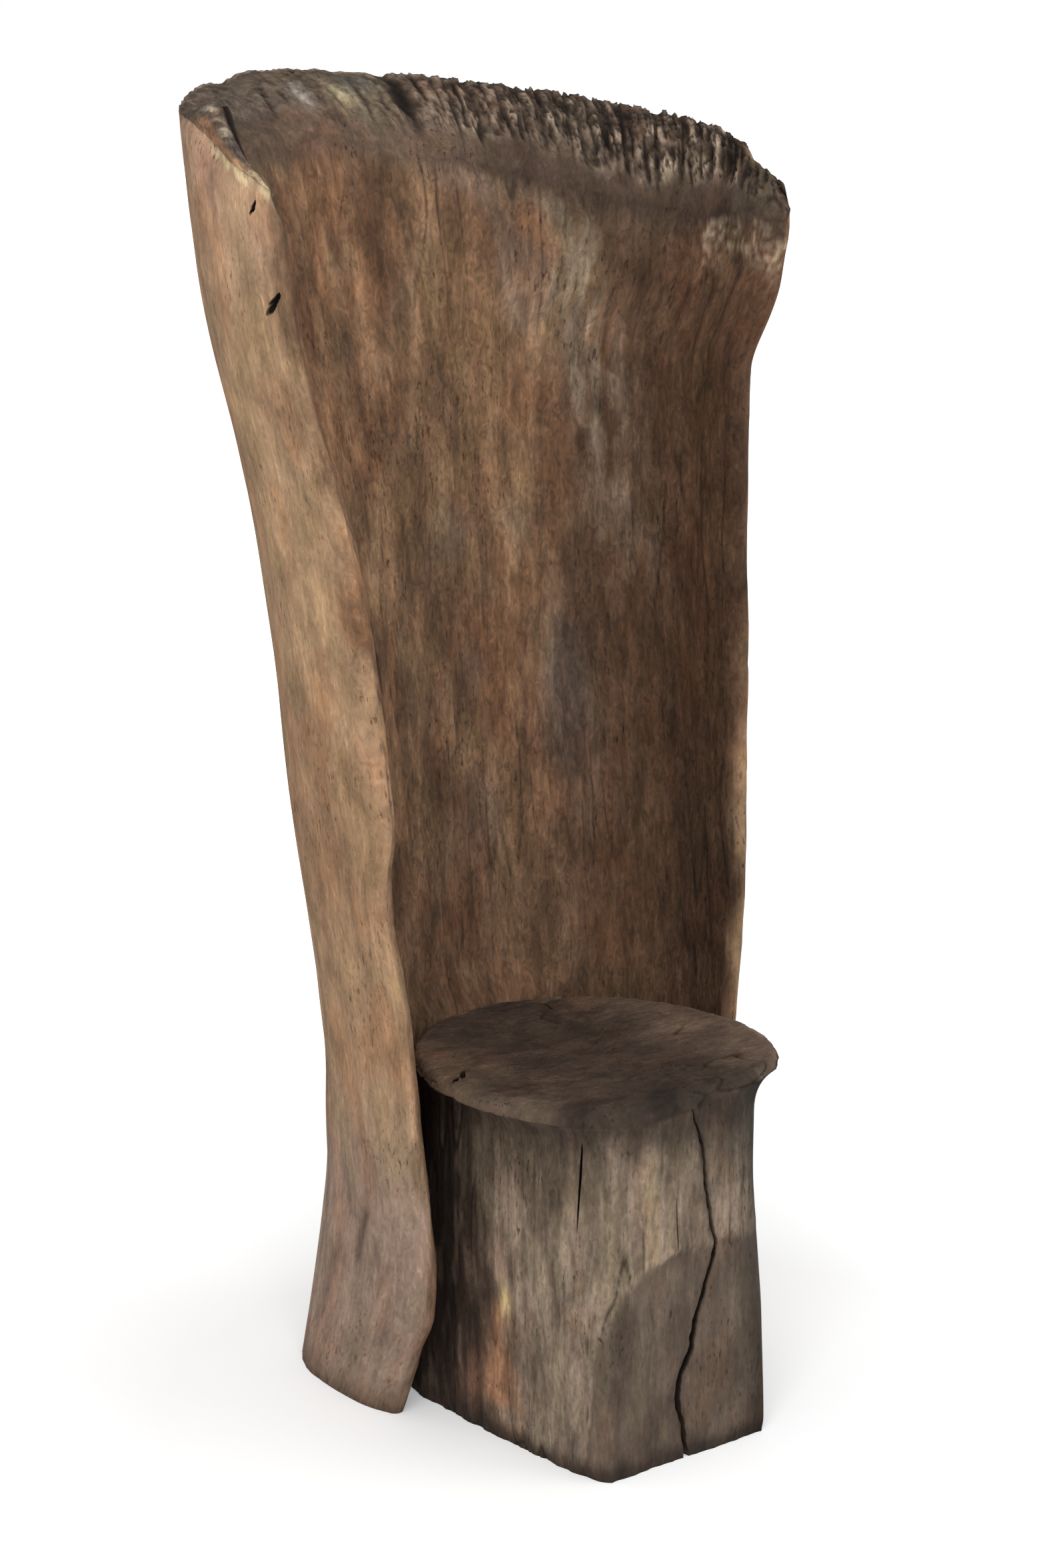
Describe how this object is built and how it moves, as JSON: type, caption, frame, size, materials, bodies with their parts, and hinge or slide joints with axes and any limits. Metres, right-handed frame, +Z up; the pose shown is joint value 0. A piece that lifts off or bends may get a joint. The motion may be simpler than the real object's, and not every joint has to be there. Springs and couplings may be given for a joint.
{
  "type": "tree trunk chair",
  "caption": "High-backed rustic chair: a hollowed, flaring trunk shell stands round a stump seat with a hewn foot, the two held by hidden wooden pegs.",
  "frame": {"origin": "on the floor under the middle of the round seat, in the flat underside of the stump", "axes": "+Z up, the sitter faces -Y, +X to the right in a front view"},
  "size_m": [0.7377, 0.5784, 1.4952],
  "materials": {
    "shell_wood": "weathered, dry hewn surface with open checks",
    "stump_wood": "weathered grey, worn top",
    "peg_wood": "raw end grain"
  },
  "bodies": {
    "root": {"trunk_shell": "shell_wood", "seat_stump": "stump_wood", "peg_upper_left": "peg_wood", "peg_upper_right": "peg_wood", "peg_lower_left": "peg_wood", "peg_lower_right": "peg_wood"}
  },
  "joints": []
}
